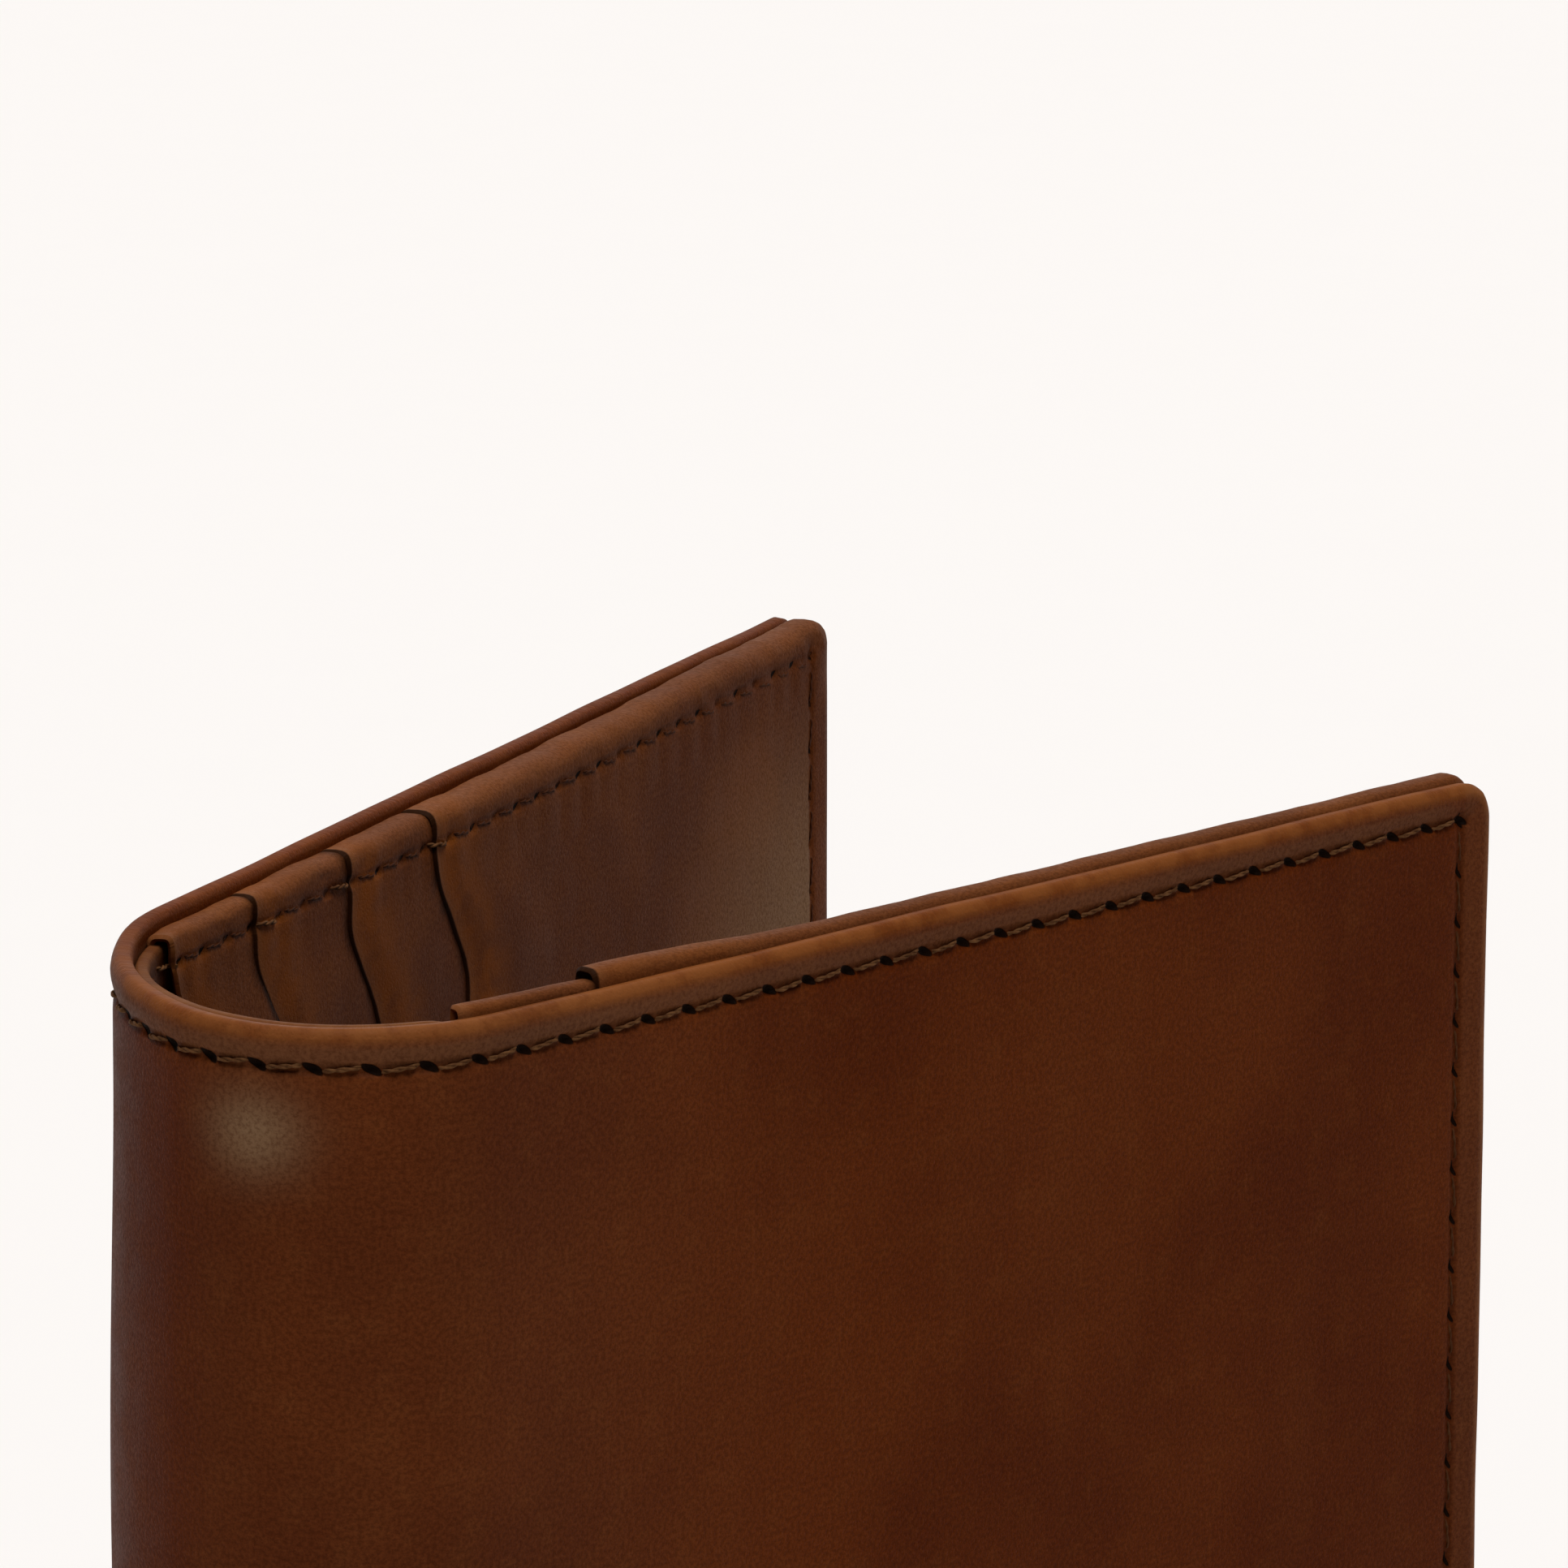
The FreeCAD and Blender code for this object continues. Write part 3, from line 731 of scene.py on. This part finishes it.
def panel_depth(pocket, x, z):
    """Depth of a pocket's inner face."""
    u = hide_u(pocket.half, x)
    c = x - pocket.mouth - mouth_shift(pocket, z)
    drop = np.minimum(z, HEIGHT - z)
    lip = -0.16 * (1 - smooth(0.0, 2.6, c))
    full = 0.22 * np.sin(math.pi * np.clip(c / MOUTH_STEP, 0, 1)) * smooth(2.4, 8.0, drop)
    below_seam = np.exp(-((drop - MARGIN - 1.1) / 1.4) ** 2) * (drop > MARGIN)
    waves = np.cos(2 * math.pi * (u - HOLES_LONG[0]) / PITCH_LONG + wander(u, 41, 23.0, 1.6))
    pucker = (0.035 + wander(u, 43, 17.0, 0.03)) * below_seam * waves
    uneven = mottle(x, z, 23 + len(pocket.node), 12.0, 0.04) * smooth(3.0, 8.0, drop)
    return pocket.face + lip + full - pucker - 0.6 * seam_relief(u, z) + uneven


def wrap_steps(radius):
    """Distances past the start of a wrap, round it and down behind."""
    return np.concatenate([radius * np.radians(np.arange(0, 181, 15)), [math.pi * radius + TAIL]])


def edge_lines(pocket, inset, margin):
    """Distances past the start of a wrap (negative before it), close together by the seam.

    inset is how far the wrapped edge lies inside the cover's edge, and margin how far the seam does.
    """
    seam = inset + pocket.radius - margin
    before = merged(seam + SEAM_STEPS, -spaced(0.3, 6.5, 0.4))
    return np.concatenate([before[before < -0.05], wrap_steps(pocket.radius)])


MOUTH_STEPS = np.array([0, 0.06, 0.15, 0.3, 0.5, 0.8, 1.2, 1.7, 2.3, 3.0])


def panel_lines(pocket, topmost):
    """Column and row positions of a panel's grid, as distances from its mouth and heights."""
    high = HEIGHT + pocket.top - pocket.radius + edge_lines(pocket, -pocket.top, MARGIN)
    low = FOOT + pocket.radius - edge_lines(pocket, FOOT, MARGIN)
    if topmost:
        between = around(HOLES_TALL, TALL_STEPS)
    else:
        between = spaced(low.max() + 1.0, high.min() - 1.0, 1.3)
    between = between[(between > low.max() + 0.1) & (between < high.min() - 0.1)]
    rows = np.concatenate([np.sort(low), np.sort(between), high])
    holes = around(np.where(pocket.half == "back", -HOLES_LONG, HOLES_LONG - U_FRONT), HOLE_STEPS)
    fine = holes - pocket.mouth
    length = LENGTH[pocket.half] - pocket.mouth
    if topmost:
        side_margin = SIDE_MARGIN[pocket.half]
        outer = length - FOOT - pocket.radius + edge_lines(pocket, FOOT, side_margin)
        inner = merged(MOUTH_STEPS, fine[fine > 0.6])
        columns = np.concatenate([inner[inner < outer.min() - 0.1], outer])
    else:
        near = fine[(fine > 0.6) & (fine < MOUTH_STEP + 6.0)]
        columns = merged(MOUTH_STEPS, near, spaced(MOUTH_STEP + 6.0, length - UNDER_END, 4.0))
    return columns, rows


def panel_rise(pocket, c, x, z):
    """How far a panel's top is pushed up: at its outer end on the back half, else at its mouth."""
    if pocket.half == "back":
        rise = 0.38 * smooth(0.45, 1.0, x / LENGTH["back"])
    else:
        rise = pocket.peak * (1 - smooth(0, 18, c))
    return rise * smooth(HEIGHT / 2, HEIGHT, z)


def panel_marks(pocket, below, c, x, z, run, gap):
    """How rubbed a panel is, and the light and shade painted on it.

    Painted sheen lies on the back half's outer end, below the top and inside the seam, and a little
    on the wraps; an orange highlight is painted along the mouth. Painted shadow lies just before the
    mouth of the pocket over it and on the mouth edge of a pocket that lies on another. gap is how far
    a point lies past the mouth of the pocket over it.
    """
    # Painted sheen: a pale grey patch on the back half's outer end.
    sheen = 0.62 * smooth(50, 76, x) * smooth(2, 18, HEIGHT - z) * (1 - smooth(22, 52, HEIGHT - z))
    beyond_seam = x - LENGTH[pocket.half] + SIDE_MARGIN[pocket.half]
    sheen = sheen * (1 - smooth(-0.5, 0, beyond_seam)) * (pocket.half == "back")
    crevice = smooth(-0.62, 0.0, gap)
    if below:
        crevice = np.maximum(crevice, 0.9 * (1 - smooth(0.0, 0.16, c)))
    return {"edge": np.maximum(0.5 - 0.5 * smooth(0.2, 1.0, c), 0.10 * smooth(-0.2, 0.6, run)),
            "mouth": (1 - smooth(0.8, 6.2, c)) * (1 - 0.6 * smooth(-0.6, 0.6, run)),
            "paleness_and_sheen": np.maximum(sheen, 0.05 * smooth(-0.2, 0.6, run)),
            "crevice": crevice}


def sheet_faces(shape):
    """Faces of a closed panel: its seen skin, the middle line of its edges and its hidden skin."""
    count = shape[0] * shape[1]
    index = np.arange(count).reshape(shape)
    faces = [quads(index), quads(index) + 2 * count]
    for side in (index[:, 0], index[:, -1], index[0, :], index[-1, :]):
        for low in (0, count):
            ring = [side[:-1] + low, side[1:] + low, side[1:] + low + count, side[:-1] + low + count]
            faces.append(np.stack(ring, -1))
    return np.concatenate(faces)


# Stands for "nothing lies over this": well away from any shadow or tuck.
UNCOVERED = -9


def wrapped_panel(pocket, above, below):
    """A pocket of thin leather whose sewn edges wrap over the edge of what lies under it.

    above is the next pocket over this one, or None, and below says whether another lies under it.
    c is the distance from the mouth and x the one out along the half. Past the start of the wrap
    both carry on as if the leather were flat, so that a corner is one fan of leather.
    """
    columns, rows = panel_lines(pocket, above is None)
    radius = pocket.radius
    corner = radius + TAIL + 0.05
    c, z = np.meshgrid(columns, rows)
    shift = mouth_shift(pocket, np.clip(z, FOOT, HEIGHT)) * (1 - smooth(2.0, 16.0, c))
    x = pocket.mouth + c + shift
    centre_x = np.minimum(x, LENGTH[pocket.half] - FOOT - corner) if above is None else x
    centre_z = np.clip(z, FOOT + corner, HEIGHT + pocket.top - corner)
    far, out_x, out_z = fan(x - centre_x, z - centre_z)
    flat_reach = corner - radius
    run = far - flat_reach
    past = np.maximum(run, 0)
    angle = np.clip(past / radius, 0, math.pi)
    behind = np.maximum(past - math.pi * radius, 0)
    seed = 7 + sum(map(ord, pocket.node))
    loose = 1.0 if pocket.half == "back" else 0.4
    wave = loose * (wander(x, seed, 19.0, 0.07) + wander(x, seed + 1, 5.3, 0.04))
    wave = wave * np.abs(out_z) * smooth(0.0, 0.6, past)
    dents = mottle(x, 2.5 * run, seed, 4.2, 0.07) * smooth(-0.8, 0.2, run) * smooth(0.4, 1.2, c)
    rise = panel_rise(pocket, c, x, z)
    gap = UNCOVERED + 0 * x
    if above:
        gap = x - above.mouth - mouth_shift(above, np.clip(z, 0, HEIGHT))
    tuck = smooth(-0.4, 1.2, gap)
    skins = []
    for thickness in (0.0, SHEET):
        bend = radius - thickness
        reach = np.where(past > 0, flat_reach + bend * np.sin(angle) ** SQUARENESS - behind, far)
        reach = reach + wave - TUCK * tuck * smooth(0.0, 0.5, past)
        px, pz = centre_x + reach * out_x, centre_z + reach * out_z
        seen = panel_depth(pocket, np.minimum(px, LENGTH[pocket.half]), np.clip(pz, 0, HEIGHT))
        level = np.where(angle > 0, seen + (pocket.face - seen) * smooth(0.2, 1.4, angle), seen)
        side = np.cos(angle)
        turned = np.sign(side) * np.abs(side) ** np.where(side > 0, SQUARENESS, 0.5)
        depth = level - radius + bend * turned + TUCK * tuck * (1 - turned) / 2
        depth = depth - np.abs(dents) * np.maximum(side, 0)
        skins.append((px, depth, pz + rise))
    middle = [(p + q) / 2 for p, q in zip(*skins)]
    middle[0] = middle[0] - 0.5 * SHEET * (c == columns[0])
    points = np.concatenate([place(hide_u(pocket.half, px), d, np.maximum(pz, 0.02)).reshape(-1, 3)
                             for px, d, pz in (skins[0], middle, skins[1])])
    flat = np.tile(np.column_stack([hide_u(pocket.half, x).ravel(), z.ravel()]), (3, 1))
    marks = panel_marks(pocket, below, c, x, z, run, gap)
    piece = build(pocket.node + "_leather", points, sheet_faces(c.shape), flat,
                  {label: np.tile(mark.ravel(), 3) for label, mark in marks.items()},
                  POCKET_LEATHER)
    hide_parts(pocket.node)
    return piece


def add_pockets():
    """Every pocket. The first of each half reaches into the spine and is left unattached; the others are
    attached to their half.
    """
    for group in (BACK_POCKETS, FRONT_POCKETS):
        for number, pocket in enumerate(group):
            above = group[number + 1] if pocket is not group[-1] else None
            piece = wrapped_panel(pocket, above, number > 0)
            if pocket is BACK_POCKETS[0]:
                join_bodies(piece, 0)
            elif pocket is FRONT_POCKETS[0]:
                join_bodies(piece, len(CUTS))
            else:
                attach(piece, pocket.half + "_half")


add_pockets()

# ---------------------------------------------------------------- the stitches


def inner_surface(u, z):
    """Depth of the innermost leather at a place on the hide."""
    depth = LEATHER + 0.3 + 0 * u
    for pocket in POCKETS:
        x = -u if pocket.half == "back" else u - U_FRONT
        shown = x > pocket.mouth + mouth_shift(pocket, z)
        depth = np.where(shown, panel_depth(pocket, x, z), depth)
    return depth


def crosses_mouth(hole, next_hole):
    """Whether a stitch bridges the step at a pocket's mouth."""
    for pocket in POCKETS:
        mouth_u = hide_u(pocket.half, pocket.mouth + mouth_shift(pocket, np.array(hole[1])))
        if min(hole[0], next_hole[0]) < mouth_u < max(hole[0], next_hole[0]):
            return True
    return False


STITCH_STEPS = 15
PLY_SIDES = 6
TWISTS = 1.5
# How far from the middle of its hole a stitch comes up, and how deep its ends go.
ENTRY = 0.32
DIVE = 0.40
# Radius of a ply, how high the stitch stands out of its groove, and how much shade is painted on it.
LONG_THREAD = (0.068, 0.07, 0.0)
SHORT_THREAD = (0.055, -0.06, 0.65)
BRIDGE_THREAD = (0.075, 0.10, 0.2)
SUNKEN_THREAD = (0.055, -0.05, 1.0)


def stitch(hole, next_hole, ply, rise, inside, seed):
    """Points and faces of one stitch: two plies twisted together, down into a hole at each end.

    ply is the radius of a ply and rise how high the stitch stands out of its groove. inside says
    which face of the wallet it is on.
    """
    random = np.random.default_rng(seed)
    run = np.array(next_hole) - np.array(hole)
    length = np.linalg.norm(run)
    run = run / length
    across = np.array([-run[1], run[0]])
    t = np.linspace(0, 1, STITCH_STEPS)[:, None]
    along = ENTRY + (length - 2 * ENTRY) * t
    lean = (t - 0.5) * 0.26 + random.uniform(-0.05, 0.05)
    up = rise * np.sin(math.pi * t) ** 0.5 - DIVE * np.abs(2 * t - 1) ** 6
    section = np.linspace(0, 2 * math.pi, PLY_SIDES + 1)[:-1][None, :]
    turns = 2 * math.pi * TWISTS * t + random.uniform(0, 2 * math.pi)
    points, faces = [], []
    for start_angle in (0, math.pi):
        side = lean + 0.85 * ply * np.cos(turns + start_angle) + ply * np.cos(section)
        out = up + 0.7 * ply * np.sin(turns + start_angle) + ply * np.sin(section)
        u = hole[0] + run[0] * along + across[0] * side
        z = hole[1] + run[1] * along + across[1] * side
        if inside:
            depth = inner_surface(u, z) + seam_relief(u, z) * 0.5 + out
        else:
            depth = seam_relief(u, z) * 0.1 + 0.06 - out
        index = len(points) * t.size * PLY_SIDES + np.arange(t.size * PLY_SIDES).reshape(-1, PLY_SIDES)
        points.append(place(u, depth, np.clip(z, 0.02, HEIGHT)).reshape(-1, 3))
        wrapped = np.concatenate([index, index[:, :1]], axis=1)
        faces += quads(wrapped).tolist()
        faces += [index[0].tolist(), index[-1].tolist()]
    return np.concatenate(points), faces


def stitch_lines():
    """Every stitch as a pair of holes, and whether it belongs to a long seam."""
    lines = []
    for level in (MARGIN, HEIGHT - MARGIN):
        lines += [((a, level), (b, level), True) for a, b in zip(HOLES_LONG, HOLES_LONG[1:])]
    for side_u in (HOLES_LONG[0], HOLES_LONG[-1]):
        lines += [((side_u, a), (side_u, b), False) for a, b in zip(HOLES_TALL, HOLES_TALL[1:])]
    return lines


def add_stitches():
    """All the sewing, one object for each fold zone."""
    points_in = [[] for _ in BODIES[1:]]
    faces_in = [[] for _ in BODIES[1:]]
    dark_in = [[] for _ in BODIES[1:]]
    for number, (hole, next_hole, on_long) in enumerate(stitch_lines()):
        zone = int(np.searchsorted(CUTS, (hole[0] + next_hole[0]) / 2))
        outer = LONG_THREAD if on_long else SHORT_THREAD
        inner = BRIDGE_THREAD if on_long and crosses_mouth(hole, next_hole) else SUNKEN_THREAD
        for inside, (ply, rise, thread_shade) in ((False, outer), (True, inner)):
            points, faces = stitch(hole, next_hole, ply, rise, inside, 2 * number + inside)
            start = sum(map(len, points_in[zone]))
            points_in[zone].append(points)
            faces_in[zone] += [[start + i for i in face] for face in faces]
            dark_in[zone].append(np.full(len(points), thread_shade))
    nodes_in = [["thread_back"], ["thread_spine_1"], ["thread_spine_2", "thread_spine_3"],
                ["thread_front"]]
    for zone, names in enumerate(nodes_in):
        mesh = bpy.data.meshes.new("stitches_%d" % (zone + 1))
        mesh.from_pydata(np.concatenate(points_in[zone]).tolist(), [], faces_in[zone])
        work = bmesh.new()
        work.from_mesh(mesh)
        bmesh.ops.recalc_face_normals(work, faces=work.faces)
        work.to_mesh(mesh)
        work.free()
        mesh.shade_smooth()
        attribute = mesh.attributes.new("thread_shade", "FLOAT", "POINT")
        attribute.data.foreach_set("value", np.concatenate(dark_in[zone]).astype(np.float32))
        mesh.materials.append(THREAD)
        piece = bpy.data.objects.new(mesh.name, mesh)
        bpy.context.scene.collection.objects.link(piece)
        join_bodies(piece, zone)
        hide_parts(*names)


add_stitches()

for half in ("back", "front"):
    node = frame["nodes"]["stiffener_" + half]
    node.data.materials.clear()
    node.data.materials.append(BOARD)

# ---------------------------------------------------------------- floor, light and camera

CREAM = (0.973, 0.939, 0.913)
# Share of its light that the floor throws back at the wallet.
BOUNCE = 0.60
FLOOR_REACH = 6.0
# The camera's plan direction and downward tilt, its place to the right of the bend and ahead of it
# as it looks, its height above the wallet and its lens, in millimetres.
CAMERA_TURN = math.radians(56.47)
CAMERA_PITCH = math.radians(12.5)
CAMERA_FROM_BEND = (30.27, -383.59)
CAMERA_ABOVE = 91.09
LENS = 186.34


def add_floor():
    """Pale floor, wide enough to fill every view, that throws little light back at the wallet."""
    mesh = bpy.data.meshes.new("floor")
    corners = [(x * FLOOR_REACH, y * FLOOR_REACH, 0) for x, y in ((-1, -1), (1, -1), (1, 1), (-1, 1))]
    mesh.from_pydata(corners, [], [(0, 1, 2, 3)])
    nodes = Nodes("pale_floor")
    place_at = nodes.add("ShaderNodeTexCoord").outputs["Object"]
    speck = nodes.add("ShaderNodeTexNoise", {"Vector": place_at, "Scale": 60.0, "Detail": 2.0})
    tone = nodes.mix(nodes.step(speck.outputs[0], 0.3, 0.7), tuple(0.998 * v for v in CREAM) + (1,),
                     CREAM + (1,))
    seen = nodes.add("ShaderNodeLightPath").outputs["Is Camera Ray"]
    dimmed = nodes.mix(1.0, tone, (BOUNCE, BOUNCE, BOUNCE, 1), "MULTIPLY")
    nodes.put(nodes.mix(seen, dimmed, tone), nodes.shader.inputs["Base Color"])
    nodes.shader.inputs["Roughness"].default_value = 1.0
    nodes.shader.inputs["Specular IOR Level"].default_value = 0.0
    mesh.materials.append(nodes.material)
    floor = bpy.data.objects.new("floor", mesh)
    bpy.context.scene.collection.objects.link(floor)


def add_world():
    """Pale surroundings: a bright wall behind the wallet and a dim room in front of it."""
    world = bpy.data.worlds.new("studio")
    bpy.context.scene.world = world
    world.use_nodes = True
    tree = world.node_tree
    out = tree.nodes["World Output"]
    glow = tree.nodes["Background"]
    glow.inputs["Color"].default_value = (1.0, 0.99, 0.985, 1)
    direction = tree.nodes.new("ShaderNodeTexCoord").outputs["Generated"]
    ahead = tree.nodes.new("ShaderNodeVectorMath")
    ahead.operation = "DOT_PRODUCT"
    ahead.inputs[1].default_value = (math.sin(CAMERA_TURN), math.cos(CAMERA_TURN), 0.0)
    tree.links.new(direction, ahead.inputs[0])
    level = tree.nodes.new("ShaderNodeMapRange")
    level.interpolation_type = "SMOOTHSTEP"
    tree.links.new(ahead.outputs["Value"], level.inputs["Value"])
    level.inputs["From Min"].default_value = 0.15
    level.inputs["From Max"].default_value = 0.85
    level.inputs["To Min"].default_value = 0.06
    level.inputs["To Max"].default_value = 0.80
    tree.links.new(level.outputs["Result"], glow.inputs["Strength"])
    seen = tree.nodes.new("ShaderNodeBackground")
    seen.inputs["Color"].default_value = CREAM + (1,)
    path = tree.nodes.new("ShaderNodeLightPath")
    pick = tree.nodes.new("ShaderNodeMixShader")
    tree.links.new(path.outputs["Is Camera Ray"], pick.inputs[0])
    tree.links.new(glow.outputs[0], pick.inputs[1])
    tree.links.new(seen.outputs[0], pick.inputs[2])
    tree.links.new(pick.outputs[0], out.inputs[0])


def add_sun(name, strength, spread, towards):
    """Soft light from far away: its spread in degrees and the direction in which it shines."""
    light = bpy.data.lights.new(name, "SUN")
    light.energy = strength
    light.angle = math.radians(spread)
    sun = bpy.data.objects.new(name, light)
    sun.rotation_mode = "QUATERNION"
    sun.rotation_quaternion = Vector(towards).to_track_quat("-Z", "Y")
    bpy.context.scene.collection.objects.link(sun)


def add_camera():
    """Long lens looking slightly down at the spine and the front half."""
    right = np.array([math.cos(CAMERA_TURN), -math.sin(CAMERA_TURN)])
    ahead = np.array([math.sin(CAMERA_TURN), math.cos(CAMERA_TURN)])
    spot = BEND_START + CAMERA_FROM_BEND[0] * right + CAMERA_FROM_BEND[1] * ahead
    data = bpy.data.cameras.new("camera")
    data.lens = LENS
    data.sensor_width = 36.0
    data.clip_start = 0.01
    data.clip_end = 50.0
    camera = bpy.data.objects.new("camera", data)
    camera.location = Vector((spot[0], spot[1], HEIGHT + CAMERA_ABOVE)) * MM
    look = Vector((ahead[0] * math.cos(CAMERA_PITCH), ahead[1] * math.cos(CAMERA_PITCH),
                   -math.sin(CAMERA_PITCH)))
    camera.rotation_mode = "QUATERNION"
    camera.rotation_quaternion = look.to_track_quat("-Z", "Y")
    bpy.context.scene.collection.objects.link(camera)
    bpy.context.scene.camera = camera


add_floor()
add_world()
add_sun("overhead", 2.55, 50, (0.1, 0.15, -1.0))
add_camera()
bpy.context.scene.view_settings.view_transform = "Standard"
